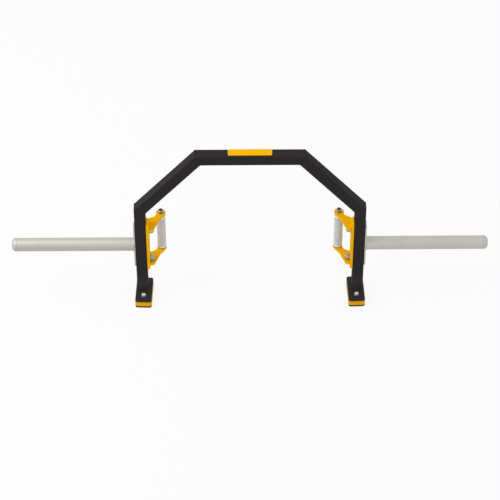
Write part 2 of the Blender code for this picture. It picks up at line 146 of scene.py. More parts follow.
def blank_finish(name):
    """A new material, its node tree and its Principled shader."""
    material = bpy.data.materials.new(name)
    material.use_nodes = True
    return material, material.node_tree, material.node_tree.nodes["Principled BSDF"]


def group_tree(name, inputs, outputs):
    """A shader node group with its sockets, and its input and output nodes."""
    tree = bpy.data.node_groups.new(name, "ShaderNodeTree")
    for title, kind, value in inputs:
        socket = tree.interface.new_socket(title, in_out="INPUT", socket_type=kind)
        socket.default_value = value
    for title, kind in outputs:
        tree.interface.new_socket(title, in_out="OUTPUT", socket_type=kind)
    return tree, tree.nodes.new("NodeGroupInput"), tree.nodes.new("NodeGroupOutput")


def place_group(tree, group, values):
    """A node that runs a group with the values given for its inputs."""
    made = tree.nodes.new("ShaderNodeGroup")
    made.node_tree = group
    for name, value in values.items():
        made.inputs[name].default_value = value
    return made


def object_place(tree):
    """The X, Y and Z of a point on the object as it is put together."""
    where = add(tree, "TexCoord")
    return add(tree, "SeparateXYZ", {"Vector": where.outputs["Object"]}).outputs


def ramp(tree, value, before, after):
    """Carries a value from the range before, its start and end, to the range after."""
    ends = {"From Min": before[0], "From Max": before[1], "To Min": after[0], "To Max": after[1]}
    return add(tree, "MapRange", {"Value": value, **ends}).outputs["Result"]


def mix(tree, share, first, second):
    """A colour between two, each given as a tone or as the socket that it comes from."""
    inputs = {"Fac": share, "Color1": first, "Color2": second}
    for name in ("Color1", "Color2"):
        if not isinstance(inputs[name], bpy.types.NodeSocket):
            inputs[name] = (*inputs[name], 1)
    return add(tree, "MixRGB", inputs).outputs["Color"]


def feed_shader(tree, shader, color, roughness, height, strength, depth):
    """Feeds the shader a colour, a roughness, and a relief of the given strength and depth."""
    bump = add(tree, "Bump", {"Height": height, "Strength": strength, "Distance": depth})
    tree.links.new(color, shader.inputs["Base Color"])
    tree.links.new(roughness, shader.inputs["Roughness"])
    tree.links.new(bump.outputs["Normal"], shader.inputs["Normal"])


def tint(material, share, tone):
    """Mixes another tone over a finish, by a share from 0 to 1."""
    tree = material.node_tree
    base = tree.nodes["Principled BSDF"].inputs["Base Color"]
    tree.links.new(mix(tree, share, base.links[0].from_socket, tone), base)


# Orange peel of baked powder, the faint clouds of uneven gloss, and specks of dust in it.
coat_skin, skin_in, skin_out = group_tree(
    "powder coat skin",
    (("Peel Scale", "NodeSocketFloat", 620.0), ("Cloud Scale", "NodeSocketFloat", 9.0)),
    (("Height", "NodeSocketFloat"), ("Cloud", "NodeSocketFloat"), ("Speck", "NodeSocketFloat")),
)
where = add(coat_skin, "TexCoord").outputs["Object"]
peel = add(
    coat_skin,
    "TexNoise",
    {"Vector": where, "Scale": skin_in.outputs["Peel Scale"], "Detail": 2.0, "Roughness": 0.45},
)
clouds = add(
    coat_skin,
    "TexNoise",
    {"Vector": where, "Scale": skin_in.outputs["Cloud Scale"], "Detail": 4.0, "Roughness": 0.6},
)
specks = add(coat_skin, "TexVoronoi", {"Vector": where, "Scale": 210.0})
in_speck = ramp(coat_skin, specks.outputs["Distance"], (0.10, 0.16), (1.0, 0.0))
coat_skin.links.new(peel.outputs["Fac"], skin_out.inputs["Height"])
coat_skin.links.new(clouds.outputs["Fac"], skin_out.inputs["Cloud"])
coat_skin.links.new(in_speck, skin_out.inputs["Speck"])


def powder_coat(name, tones, speck_tone, roughness, specular):
    """Powder coat that drifts between two tones and two roughnesses, with fine specks in it."""
    material, tree, shader = blank_finish(name)
    scales = {"Peel Scale": peel_scale, "Cloud Scale": cloud_scale}
    skin = place_group(tree, coat_skin, scales).outputs
    toned = mix(tree, skin["Cloud"], *tones)
    specked = mix(tree, ramp(tree, skin["Speck"], (0.0, 1.0), (0.0, 0.35)), toned, speck_tone)
    gloss = ramp(tree, skin["Cloud"], (0.3, 0.7), roughness)
    feed_shader(tree, shader, specked, gloss, skin["Height"], 0.35, coat_peel_depth)
    shader.inputs["Specular IOR Level"].default_value = specular
    return material


black_coat = powder_coat(
    "black powder coat",
    tones=((0.0240, 0.0216, 0.0209), (0.0300, 0.0272, 0.0263)),
    speck_tone=(0.042, 0.040, 0.038),
    roughness=(0.50, 0.66),
    specular=0.04,
)
tree = black_coat.node_tree
# Painted light: the coat turns paler over the lowest part of the frame, where the legs stand in shade.
near_floor = ramp(tree, object_place(tree)["Z"], (leg_low.z, leg_low.z + painted_light_reach), (1.0, 0.0))
painted_light_share = add(tree, "Math", {0: near_floor, 1: painted_light_fade}, operation="POWER")
tint(black_coat, painted_light_share.outputs[0], painted_light_tone)


def bend_stations(corner, arriving, leaving):
    """Outer and inner corners of the tube before, at and after a bend, with the weld's swell."""
    first = Vector((arriving.y, -arriving.x))
    second = Vector((leaving.y, -leaving.x))
    inner = corner + tube_side * (first + second) / (1 + first.dot(second))
    outward = (corner - inner).normalized() * weld_swell
    return [
        (corner - arriving * weld_reach, inner - arriving * weld_reach, 0),
        (corner + outward, inner - outward, weld_swell),
        (corner + leaving * weld_reach, inner + leaving * weld_reach, 0),
    ]


bends = [
    Vector((leg_low.x, leg_low.z)),
    Vector((leg_low.x, leg_high.z)),
    Vector((top_low.x, top_high.z)),
    Vector((top_high.x, top_high.z)),
    Vector((-leg_low.x, leg_high.z)),
    Vector((-leg_low.x, leg_low.z)),
]
stations = [(bends[0], bends[0] + Vector((tube_side, 0)), 0)]
for before, corner, after in zip(bends, bends[1:], bends[2:]):
    stations += bend_stations(corner, (corner - before).normalized(), (after - corner).normalized())
stations.append((bends[-1], bends[-1] - Vector((tube_side, 0)), 0))

select_nothing()
bpy.ops.mesh.primitive_plane_add(
    size=tube_side, location=((leg_low.x + leg_high.x) / 2, 0, leg_low.z)
)
welded_frame = bpy.context.object
bpy.ops.object.transform_apply()
start_shaping(welded_frame)
for (outer, inner, swell), (next_outer, next_inner, next_swell) in zip(stations, stations[1:]):
    bpy.ops.mesh.extrude_region_move()
    tube_end = bmesh.from_edit_mesh(welded_frame.data)
    end_corners = {v.index for v in tube_end.verts if v.select}
    for old, new in ((outer, next_outer), (inner, next_inner)):
        pick(
            "VERT",
            lambda v: v.index in end_corners and (Vector((v.co.x, v.co.z)) - old).length < same_place,
        )
        bpy.ops.transform.translate(value=(new.x - old.x, 0, new.y - old.y))
    pick("VERT", lambda v: v.index in end_corners)
    widen = (tube_side / 2 + next_swell) / (tube_side / 2 + swell)
    bpy.ops.transform.resize(value=(1, widen, 1), center_override=(0, 0, 0))


def at_leg_end(item):
    """True for what lies in the open lower end of a leg."""
    return all(abs(v.co.z - leg_low.z) < same_place for v in item.verts)


def runs_along_tube(edge):
    """True for the four long outer edges of every tube."""
    along = edge.verts[1].co - edge.verts[0].co
    off_middle = min(abs(v.co.y) for v in edge.verts)
    return (
        off_middle > (tube_side - tube_wall) / 2
        and abs(along.y) < along.length / 2
        and edge.calc_face_angle(0) > edge_of_tube
        and not at_leg_end(edge)
    )


pick("FACE", at_leg_end)
bpy.ops.mesh.delete(type="ONLY_FACE")
face_outward()
use_modifier(welded_frame, "SOLIDIFY", thickness=tube_wall, offset=-1, use_even_offset=True)
start_shaping(welded_frame)
pick("EDGE", runs_along_tube)
bpy.ops.mesh.bevel(offset=tube_corner, segments=5, affect="EDGES")
smooth(welded_frame, sharp_angle=30)
name_and_finish(welded_frame, "welded_frame", black_coat)
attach(welded_frame, "frame")
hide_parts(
    "frame_leg_left",
    "frame_diagonal_left",
    "frame_top_tube",
    "frame_diagonal_right",
    "frame_leg_right",
)

# A foot starts as a 5 mm steel plate under each leg, longer to the front and with its toe turned
# out a little. It is welded to the leg all round with one rippled bead, and coated black with it.
foot_weld_radius = 0.0022
foot_weld_corner = 0.004
foot_weld_steps = 16
foot_weld_waves = 25
foot_weld_lift = 0.0003
foot_weld_gap = 0.0002
foot_weld_end = 0.0005
weld_smoothing = 80
weld_wave_depth = 0.0003
flat_within = math.radians(0.6)
shortest_facet = 0.0005
longest_facet = 0.008
longest_turn = 0.6


def merged_copy(node):
    """A piece with the shape of a CAD node, its loose triangles joined into whole faces."""
    piece = bpy.data.objects.new("copy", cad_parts[node].data.copy())
    bpy.context.collection.objects.link(piece)
    start_shaping(piece)
    bpy.ops.mesh.customdata_custom_splitnormals_clear()
    bpy.ops.mesh.select_all(action="SELECT")
    bpy.ops.mesh.remove_doubles(threshold=same_place)
    bpy.ops.mesh.dissolve_limited(angle_limit=flat_within)
    select_nothing()
    return piece


def ease_arcs(piece, axis):
    """Trims the corners between the short facets of an outline that is cut out along the axis."""

    def lies_across(edge):
        """True for the edges of the two cut faces."""
        return abs(edge.verts[1].co[axis] - edge.verts[0].co[axis]) < same_place

    def between_short_facets(edge):
        """True for the edges along the axis with a short facet on either side."""
        if lies_across(edge) or edge.calc_face_angle(0) > longest_turn:
            return False
        sides = [side for face in edge.link_faces for side in face.edges]
        widths = [side.calc_length() for side in sides if lies_across(side)]
        return min(widths, default=0) > shortest_facet and max(widths) < longest_facet

    start_shaping(piece)
    pick("EDGE", between_short_facets)
    bpy.ops.mesh.bevel(offset_type="PERCENT", offset_pct=25, segments=2, affect="EDGES")
    select_nothing()


def duplicate(piece, turn_axis=None, pivot=(0, 0, 0), shift=(0, 0, 0)):
    """A copy with its own mesh, turned half round an axis through pivot, or shifted."""
    select_only(piece)
    bpy.ops.object.duplicate()
    copy = bpy.context.object
    if turn_axis:
        bpy.ops.transform.rotate(value=math.pi, orient_axis=turn_axis, center_override=pivot)
    if any(shift):
        bpy.ops.transform.translate(value=shift)
    bpy.ops.object.transform_apply()
    return copy


def draw_in_rings(wanted):
    """Draws in the rings of a weld bead that are wanted, as its frozen waves are."""
    pick("VERT", wanted)
    bpy.ops.transform.shrink_fatten(value=-weld_wave_depth)


# A copy of the black coat that renders lighter, with more sheen: painted light that lifts the shade the
# legs cast on the feet.
lit_foot_coat = powder_coat(
    "black powder coat painted lighter on the feet",
    tones=((0.0200, 0.0182, 0.0174), (0.0255, 0.0232, 0.0222)),
    speck_tone=(0.034, 0.032, 0.031),
    roughness=(0.48, 0.64),
    specular=0.20,
)
plate_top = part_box("foot_plate_left")[1].z
leg_middle = (leg_low.x + leg_high.x) / 2
select_nothing()
bpy.ops.mesh.primitive_torus_add(
    location=(0, 0, plate_top + foot_weld_lift),
    rotation=(0, 0, math.pi / foot_weld_steps),
    major_radius=foot_weld_corner,
    minor_radius=foot_weld_radius,
    major_segments=foot_weld_steps,
    minor_segments=10,
)
foot_weld = bpy.context.object
bpy.ops.object.transform_apply()
start_shaping(foot_weld)
weld_straight = tube_side / 2 + foot_weld_gap - foot_weld_corner
for axis in (0, 1):
    for way in (-1, 1):
        push = [0, 0, 0]
        push[axis] = way * weld_straight
        pick("VERT", lambda v: v.co[axis] * way > 0)
        bpy.ops.transform.translate(value=push)
pick("EDGE", lambda edge: edge.calc_length() > weld_straight)
bpy.ops.mesh.subdivide(number_cuts=foot_weld_waves - 1)
weld_reach_out = weld_straight + foot_weld_corner * math.sin(math.pi / foot_weld_steps)
wave_length = 2 * weld_reach_out / foot_weld_waves
for axis in (0, 1):
    draw_in_rings(
        lambda v: abs(v.co[axis]) < weld_reach_out - foot_weld_end
        and round((v.co[axis] + weld_reach_out) / wave_length) % 2 == 1
        and abs(v.co[1 - axis]) > weld_straight
    )
select_nothing()
for side, label in ((-1, "left"), (1, "right")):
    bead = duplicate(foot_weld, shift=(-side * leg_middle, 0, 0))
    smooth(bead, weld_smoothing)
    name_and_finish(bead, label + "_foot_weld", lit_foot_coat)
    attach(bead, "frame")
    foot_plate = merged_copy("foot_plate_" + label)
    ease_arcs(foot_plate, 2)
    smooth(foot_plate)
    name_and_finish(foot_plate, label + "_foot_plate", lit_foot_coat)
    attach(foot_plate, "frame")
    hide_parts("foot_plate_" + label)
bpy.data.objects.remove(foot_weld)

# Under each plate is a 21 mm block of cast yellow polyurethane in the plate's outline, on a 6 mm
# sole of black rubber. The foot's bolt clamps the block, and the sole is glued under it.
moulded_skin, grain_in, grain_out = group_tree(
    "moulded skin",
    (("Grain Scale", "NodeSocketFloat", 500.0),),
    (("Pits", "NodeSocketFloat"), ("Flow", "NodeSocketFloat")),
)
where = add(moulded_skin, "TexCoord").outputs["Object"]
pits = add(
    moulded_skin, "TexNoise", {"Vector": where, "Scale": grain_in.outputs["Grain Scale"], "Detail": 3.0}
)
flow = add(moulded_skin, "TexNoise", {"Vector": where, "Scale": 26.0, "Detail": 2.0})
moulded_skin.links.new(pits.outputs["Fac"], grain_out.inputs["Pits"])
moulded_skin.links.new(flow.outputs["Fac"], grain_out.inputs["Flow"])


def moulded(name, tones, roughness, specular, grain_scale, grain_depth):
    """A moulded plastic or rubber with a fine pitted skin between two tones."""
    material, tree, shader = blank_finish(name)
    skin = place_group(tree, moulded_skin, {"Grain Scale": grain_scale}).outputs
    gloss = ramp(tree, skin["Pits"], (0.0, 1.0), roughness)
    feed_shader(tree, shader, mix(tree, skin["Flow"], *tones), gloss, skin["Pits"], 0.5, grain_depth)
    shader.inputs["Specular IOR Level"].default_value = specular
    return material


yellow_block = moulded(
    "cast yellow polyurethane",
    tones=((0.80, 0.390, 0.0004), (0.86, 0.425, 0.0008)),
    roughness=(0.42, 0.62),
    specular=0.05,
    grain_scale=480.0,
    grain_depth=0.0004,
)
black_rubber = moulded(
    "black rubber",
    tones=((0.014, 0.014, 0.014), (0.021, 0.020, 0.020)),
    roughness=(0.70, 0.92),
    specular=0.25,
    grain_scale=700.0,
    grain_depth=0.0005,
)
for label in ("left", "right"):
    for name, finish, slot, node in (
        ("_foot_block", yellow_block, "pad_yellow", "foot_pad_"),
        ("_sole", black_rubber, "sole_rubber", "foot_sole_"),
    ):
        piece = merged_copy(node + label)
        ease_arcs(piece, 2)
        smooth(piece)
        name_and_finish(piece, label + name, finish)
        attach(piece, "frame")
        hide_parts(node + label)

# One M8 hexagon bolt clamps each foot, with a plain washer above and a nut in a pocket below. They
# are zinc plated steel with faint tool marks. The washers and nuts are bright, and the bolts dull,
# with painted shade on their flanks below the pale top of the head.
touching = 0.000002
chamfer_start = 0.0003
chamfer_angle = math.radians(30)
past_corners = 0.0002
washer_play = 0.0003
steel_marks, marks_in, marks_out = group_tree(
    "tool marks",
    (("Stretch", "NodeSocketVector", (40.0, 40.0, 40.0)),),
    (("Height", "NodeSocketFloat"), ("Tone", "NodeSocketFloat")),
)
marks_where = add(steel_marks, "TexCoord")
marks_spread = add(
    steel_marks,
    "Mapping",
    {"Vector": marks_where.outputs["Object"], "Scale": marks_in.outputs["Stretch"]},
)
marks_fine = add(
    steel_marks, "TexNoise", {"Vector": marks_spread.outputs["Vector"], "Scale": 1.0, "Detail": 5.0}
)
marks_broad = add(
    steel_marks,
    "TexNoise",
    {"Vector": marks_where.outputs["Object"], "Scale": 14.0, "Detail": 3.0, "Roughness": 0.6},
)
steel_marks.links.new(marks_fine.outputs["Fac"], marks_out.inputs["Height"])
steel_marks.links.new(marks_broad.outputs["Fac"], marks_out.inputs["Tone"])


def marked_steel(name, tones, roughness, stretch, depth, metallic=1.0):
    """Bare or plated steel with tool marks drawn out along the axes of least stretch."""
    material, tree, shader = blank_finish(name)
    marks = place_group(tree, steel_marks, {"Stretch": stretch}).outputs
    gloss = ramp(tree, marks["Height"], (0.3, 0.7), roughness)
    feed_shader(tree, shader, mix(tree, marks["Tone"], *tones), gloss, marks["Height"], 0.3, depth)
    shader.inputs["Metallic"].default_value = metallic
    return material


bright_zinc = marked_steel(
    "bright zinc plating",
    tones=((0.34, 0.33, 0.305), (0.42, 0.41, 0.385)),
    roughness=(0.26, 0.40),
    stretch=(600.0, 600.0, 600.0),
    depth=0.00005,
)
dull_zinc_painted_shade = marked_steel(
    "dull zinc plating with painted shade",
    tones=((0.76, 0.75, 0.72), (0.84, 0.83, 0.80)),
    roughness=(0.40, 0.55),
    stretch=(500.0, 500.0, 500.0),
    depth=0.00006,
    metallic=0.25,
)


def turn_blank(profile, sides, bored=False):
    """A piece turned on a lathe, its axis up: profile lists (radius, height) from its first face."""
    select_nothing()
    radius, height = profile[0]
    bpy.ops.mesh.primitive_circle_add(
        vertices=sides,
        radius=radius,
        location=(0, 0, height),
        fill_type="NOTHING" if bored else "NGON",
    )
    blank = bpy.context.object
    bpy.ops.object.transform_apply()
    start_shaping(blank)
    bpy.ops.mesh.select_mode(type="VERT")
    bpy.ops.mesh.select_all(action="SELECT")
    for next_radius, next_height in [*profile[1:], *(profile[:1] if bored else ())]:
        bpy.ops.mesh.extrude_region_move()
        bpy.ops.transform.translate(value=(0, 0, next_height - height))
        scale = next_radius / radius
        bpy.ops.transform.resize(value=(scale, scale, 1), center_override=(0, 0, next_height))
        radius, height = next_radius, next_height
    bpy.ops.mesh.select_all(action="SELECT")
    bpy.ops.mesh.remove_doubles(threshold=touching)
    face_outward()
    select_nothing()
    return blank


def plain_washer(bore, rim, height, sides=60):
    """A stamped washer, rounded more at its upper rim."""
    return turn_blank(
        [
            (bore, 0),
            (rim - 0.0004, 0),
            (rim, 0.0003),
            (rim, height - 0.0004),
            (rim - 0.0005, height),
            (bore + 0.0002, height),
            (bore, height - 0.0002),
        ],
        sides=sides,
        bored=True,
    )


def hexagon_bar(across, bottom, top):
    """A six-sided bar, used as a tool."""
    select_nothing()
    bpy.ops.mesh.primitive_cylinder_add(
        vertices=6,
        radius=across / math.sqrt(3),
        depth=top - bottom,
        location=(0, 0, (top + bottom) / 2),
    )
    bar = bpy.context.object
    bpy.ops.object.transform_apply()
    return bar


def trim(piece, tool, operation):
    """Cuts the piece with a tool, or keeps only what lies in it, and puts the tool away."""
    use_modifier(piece, "BOOLEAN", operation=operation, solver="EXACT", object=tool)
    bpy.data.objects.remove(tool)


def cut_flats(blank, across, length):
    """Cuts six flats on a turned blank, along its whole length."""
    trim(blank, hexagon_bar(across, -0.01, length + 0.01), "INTERSECT")


def set_in_place(piece, place, axis):
    """Stands the piece at its place, with its own up along axis."""
    piece.rotation_mode = "QUATERNION"
    piece.rotation_quaternion = Vector((0, 0, 1)).rotation_difference(Vector(axis))
    piece.location = place
    select_only(piece)
    bpy.ops.object.transform_apply()


def hexagon_corner(across):
    """Radius a little past the hexagon's corners, and the drop of its 30 degree chamfer there."""
    corner = across / math.sqrt(3) + past_corners
    return corner, (corner - across / 2 + chamfer_start) * math.tan(chamfer_angle)


def thread(radius, bottom, top, pitch):
    """Ridges of a thread on a turned profile, from bottom to top, each 0.6 of the pitch deep."""
    turns = int((top - bottom) / pitch)
    root = radius - 0.6 * pitch
    ridges = []
    for turn in range(turns):
        level = bottom + turn * pitch
        ridges += [
            (root, level + 0.15 * pitch),
            (radius, level + 0.5 * pitch),
            (radius, level + 0.6 * pitch),
        ]
    return [*ridges, (root, top)]


def middle_of(node):
    """Middle of a CAD node's box."""
    low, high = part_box(node)
    return (low + high) / 2


bolt_low, bolt_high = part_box("foot_bolt_left")
painted_shade_full_depth = 0.0018
painted_shade_top_gap = 0.0010
# Painted shade: the bolt turns dark below the top face of its head, so only that top reads pale.
tree = dull_zinc_painted_shade.node_tree
painted_shade_span = (bolt_high.z - painted_shade_full_depth, bolt_high.z - painted_shade_top_gap)
painted_shade_share = ramp(tree, object_place(tree)["Z"], painted_shade_span, (1.0, 0.0))
tint(dull_zinc_painted_shade, painted_shade_share, (0.090, 0.087, 0.082))
foot_bolt_across = 0.013
foot_bolt_radius = 0.004
foot_bolt_length = bolt_high.z - bolt_low.z
foot_head = 0.0055
corner, drop = hexagon_corner(foot_bolt_across)
foot_bolt = turn_blank(
    [
        (foot_bolt_across / 2 - 0.0011, 0),
        (foot_bolt_across / 2 - chamfer_start, 0.0001),
        (corner, drop),
        (corner, foot_head - 0.0004),
        (foot_bolt_across / 2 - 0.0002, foot_head - 0.0004),
        (foot_bolt_across / 2 - 0.0002, foot_head),
        (foot_bolt_radius, foot_head),
        *thread(foot_bolt_radius, foot_head + 0.004, foot_bolt_length - 0.001, 0.00125),
        (foot_bolt_radius - 0.0010, foot_bolt_length),
    ],
    sides=48,
)
cut_flats(foot_bolt, foot_bolt_across, foot_bolt_length)
washer_low, washer_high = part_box("foot_washer_left")
foot_washer = plain_washer(
    foot_bolt_radius + washer_play,
    (washer_high.x - washer_low.x) / 2,
    washer_high.z - washer_low.z,
    sides=56,
)
for label in ("left", "right"):
    spot = middle_of("foot_bolt_" + label)
    bolt = duplicate(foot_bolt)
    set_in_place(bolt, (spot.x, spot.y, bolt_high.z), (0, 0, -1))
    smooth(bolt)
    name_and_finish(bolt, label + "_foot_bolt", dull_zinc_painted_shade)
    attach(bolt, "frame")
    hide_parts("foot_bolt_" + label)
    washer = duplicate(foot_washer, shift=(spot.x, spot.y, washer_low.z))
    smooth(washer)
    name_and_finish(washer, label + "_foot_washer", bright_zinc)
    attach(washer, "frame")
    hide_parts("foot_washer_" + label)
    hidden_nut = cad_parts["foot_nut_" + label]
    hidden_nut.data.materials.clear()
    hidden_nut.data.materials.append(bright_zinc)
bpy.data.objects.remove(foot_bolt)
bpy.data.objects.remove(foot_washer)

# The loading sleeves are 48.3 mm tubes in satin chrome, welded to a flange outside each leg and
# closed by a domed plug. Plates slide on them, so the chrome has fine marks along its length.
flange_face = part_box("sleeve_flange_left")[0].x
tube_low, tube_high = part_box("sleeve_tube_left")
plug_low, plug_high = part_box("sleeve_end_plug_left")
sleeve_radius = (tube_high.z - tube_low.z) / 2
sleeve_axis = (tube_high.z + tube_low.z) / 2
sleeve_wall = 0.0032
plug_dome = 0.014
plug_spigot = 0.014
seam_chamfer = 0.00015
sleeve_weld_radius = 0.0028
sleeve_weld_waves = 144
sleeve_weld_lift = 0.0004
sleeve_weld_gap = 0.0002
sleeve_weld_margin = 0.0004
sleeve_sides = 112
plug_slack = 0.0003
dome_steps = 9

satin_chrome = marked_steel(
    "satin chrome",
    tones=((0.53, 0.51, 0.475), (0.59, 0.57, 0.53)),
    roughness=(0.54, 0.66),
    stretch=(9.0, 900.0, 900.0),
    depth=0.00003,
)
plated_flange = marked_steel(
    "satin plated flange",
    tones=((0.50, 0.49, 0.47), (0.57, 0.56, 0.54)),
    roughness=(0.38, 0.52),
    stretch=(300.0, 300.0, 300.0),
    depth=0.00005,
)
tube_length = tube_high.x - tube_low.x
sleeve = turn_blank(
    [
        (sleeve_radius - sleeve_wall, 0),
        (sleeve_radius, 0),
        (sleeve_radius, tube_length - seam_chamfer),
        (sleeve_radius - seam_chamfer, tube_length),
        (sleeve_radius - sleeve_wall, tube_length),
    ],
    sides=sleeve_sides,
    bored=True,
)
dome = []
for step in range(dome_steps + 1):
    turned_by = math.pi / 2 * step / dome_steps
    dome.append(
        (
            sleeve_radius - plug_dome * (1 - math.cos(turned_by)),
            plug_high.x - plug_low.x - plug_dome * (1 - math.sin(turned_by)),
        )
    )
spigot_radius = sleeve_radius - sleeve_wall - plug_slack
plug = turn_blank(
    [
        (spigot_radius, 0),
        (spigot_radius, plug_spigot),
        (sleeve_radius - seam_chamfer, plug_spigot),
        (sleeve_radius, plug_spigot + seam_chamfer),
        *dome,
    ],
    sides=sleeve_sides,
)
select_nothing()
bpy.ops.mesh.primitive_torus_add(
    location=(flange_face - sleeve_weld_lift, 0, sleeve_axis),
    rotation=(0, math.pi / 2, 0),
    major_radius=sleeve_radius + sleeve_weld_gap,
    minor_radius=sleeve_weld_radius,
    major_segments=sleeve_weld_waves,
    minor_segments=10,
)
sleeve_weld = bpy.context.object
bpy.ops.object.transform_apply()
start_shaping(sleeve_weld)
wave_turn = 2 * math.pi / sleeve_weld_waves
draw_in_rings(lambda v: round(math.atan2(v.co.y, v.co.z - sleeve_axis) / wave_turn) % 2 == 1)
weld_end = (tube_side / 2 - sleeve_weld_margin) / (sleeve_radius + sleeve_weld_radius + sleeve_weld_gap)
pick("VERT", lambda v: abs(v.co.y) > weld_end * math.hypot(v.co.y, v.co.z - sleeve_axis))
bpy.ops.mesh.delete(type="VERT")
bpy.ops.mesh.select_all(action="SELECT")
bpy.ops.mesh.fill_holes(sides=0)
face_outward()
select_nothing()
for side, label in ((-1, "left"), (1, "right")):
    flange = merged_copy("sleeve_flange_" + label)
    ease_arcs(flange, 0)
    smooth(flange)
    name_and_finish(flange, label + "_flange", plated_flange)
    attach(flange, "frame")
    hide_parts("sleeve_flange_" + label)
    for piece, name, tip, node in (
        (sleeve, "_sleeve", tube_high.x, "sleeve_tube_"),
        (plug, "_sleeve_plug", plug_high.x, "sleeve_end_plug_"),
    ):
        placed = duplicate(piece)
        set_in_place(placed, (-side * tip, 0, sleeve_axis), (side, 0, 0))
        smooth(placed)
        name_and_finish(placed, label + name, satin_chrome)
        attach(placed, "frame")
        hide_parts(node + label)
    bead = duplicate(sleeve_weld, turn_axis="Z" if label == "right" else None)
    smooth(bead, weld_smoothing)
    name_and_finish(bead, label + "_sleeve_weld", plated_flange)
    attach(bead, "frame")
for spare in (sleeve, plug, sleeve_weld):
    bpy.data.objects.remove(spare)

# A handle bracket is a 10 mm steel plate bolted to the inside of the leg, with two cut arms welded
# square to it. It is powder coated yellow before the grip goes in.
yellow_coat = powder_coat(
    "yellow powder coat",
    tones=((0.90, 0.455, 0.0002), (0.96, 0.490, 0.0004)),
    speck_tone=(0.84, 0.48, 0.02),
    roughness=(0.40, 0.54),
    specular=0.02,
)
back_plate_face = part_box("bracket_plate_left")[1].x
upper_low, upper_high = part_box("bracket_arm_upper_left")
lower_low, lower_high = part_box("bracket_arm_lower_left")
arm_edge = 0.0008
arm_root_corner = 0.003
arm_weld_radius = 0.0021
arm_weld_lift = 0.0001
arm_weld_wave = 0.0015
outer_weld_front = -0.0165
inner_weld_front = 0.0150
arm_weld_rear = 0.0380
root_lines = (
    (upper_high.z, outer_weld_front),
    (upper_low.z, inner_weld_front),
    (lower_high.z, inner_weld_front),
    (lower_low.z, outer_weld_front),
)
beads = []
for level, front in root_lines:
    bead_length = arm_weld_rear - front
    select_nothing()
    bpy.ops.mesh.primitive_cylinder_add(
        vertices=12,
        radius=arm_weld_radius,
        depth=bead_length,
        location=(back_plate_face + arm_weld_lift, (front + arm_weld_rear) / 2, level),
        rotation=(math.pi / 2, 0, 0),
    )
    bead = bpy.context.object
    bpy.ops.object.transform_apply()
    start_shaping(bead)
    waves = round(bead_length / arm_weld_wave)
    pick("EDGE", lambda edge: edge.calc_length() > bead_length / 2)
    bpy.ops.mesh.subdivide(number_cuts=waves - 1)
    draw_in_rings(lambda v: round((v.co.y - front) / (bead_length / waves)) % 2 == 0)
    select_nothing()
    beads.append(bead)
for bead in beads:
    bead.select_set(True)
bpy.context.view_layer.objects.active = beads[0]
bpy.ops.object.join()
left_beads = beads[0]
right_beads = duplicate(left_beads, turn_axis="Y", pivot=(0, 0, sleeve_axis))


def cut_arm(node):
    """An arm cut from plate in its CAD node's outline, with the arcs and the long edges eased."""
    low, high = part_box(node)
    root = max(-low.x, high.x)
    thickness = high.z - low.z
    square_within = 0.1
    arm = merged_copy(node)
    start_shaping(arm)
    bpy.ops.mesh.select_all(action="SELECT")
    bpy.ops.mesh.bisect(
        plane_co=(0, 0, (low.z + high.z) / 2), plane_no=(0, 0, 1), clear_inner=True, clear_outer=True
    )
    bpy.ops.mesh.select_mode(type="VERT")
    bpy.ops.mesh.select_all(action="SELECT")
    bpy.ops.transform.translate(value=(0, 0, -thickness / 2))
    bpy.ops.mesh.fill(use_beauty=True)
    bpy.ops.mesh.select_all(action="SELECT")
    bpy.ops.mesh.extrude_region_move()
    bpy.ops.transform.translate(value=(0, 0, thickness))
    face_outward()
    pick(
        "EDGE",
        lambda edge: abs(edge.calc_face_angle(0) - math.pi / 2) < square_within
        and abs(edge.verts[0].co.z - edge.verts[1].co.z) < same_place
        and max(root - abs(v.co.x) for v in edge.verts) > arm_root_corner,
    )
    bpy.ops.mesh.bevel(offset=arm_edge, segments=2, affect="EDGES")
    ease_arcs(arm, 2)
    return arm


for label, bead in (("left", left_beads), ("right", right_beads)):
    smooth(bead, weld_smoothing)
    name_and_finish(bead, label + "_bracket_welds", yellow_coat)
    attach(bead, "frame")
    back_plate = merged_copy("bracket_plate_" + label)
    smooth(back_plate)
    name_and_finish(back_plate, label + "_bracket_plate", yellow_coat)
    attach(back_plate, "frame")
    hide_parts("bracket_plate_" + label)
    for level in ("upper", "lower"):
        arm = cut_arm("bracket_arm_" + level + "_" + label)
        smooth(arm, sharp_angle=40)
        name_and_finish(arm, label + "_" + level + "_arm", yellow_coat)
        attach(arm, "frame")
        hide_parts("bracket_arm_" + level + "_" + label)

# Two M12 countersunk bolts pass through flange, leg and back plate. Each is tightened from outside
# by its hexagon socket, and has a washer and a nut on the back plate.
bolt_radius = 0.006
nut_across = 0.018
socket_across = 0.008
socket_depth = 0.0046
thread_length = 0.0185
nut_play = 0.0002
outer_low, outer_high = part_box("bracket_bolt_upper_left")
nut_low, nut_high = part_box("bracket_nut_upper_left")
ring_low, ring_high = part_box("bracket_washer_upper_left")
bolt_reach = outer_high.x - outer_low.x
head_rim = (outer_high.z - outer_low.z) / 2
nut_height = nut_high.x - nut_low.x
ring_height = ring_high.x - ring_low.x
ring_rim = (ring_high.z - ring_low.z) / 2
head_edge = 0.0005
cone_end = head_edge + head_rim - bolt_radius
countersunk_bolt = turn_blank(
    [
        (head_rim - 0.0003, 0),
        (head_rim, 0.0002),
        (head_rim, head_edge),
        (bolt_radius, cone_end),
        (bolt_radius, bolt_reach - thread_length),
        *thread(bolt_radius, bolt_reach - thread_length, bolt_reach - 0.0012, 0.00175),
        (bolt_radius - 0.0014, bolt_reach),
    ],
    sides=56,
)
trim(countersunk_bolt, hexagon_bar(socket_across, -0.001, socket_depth), "DIFFERENCE")


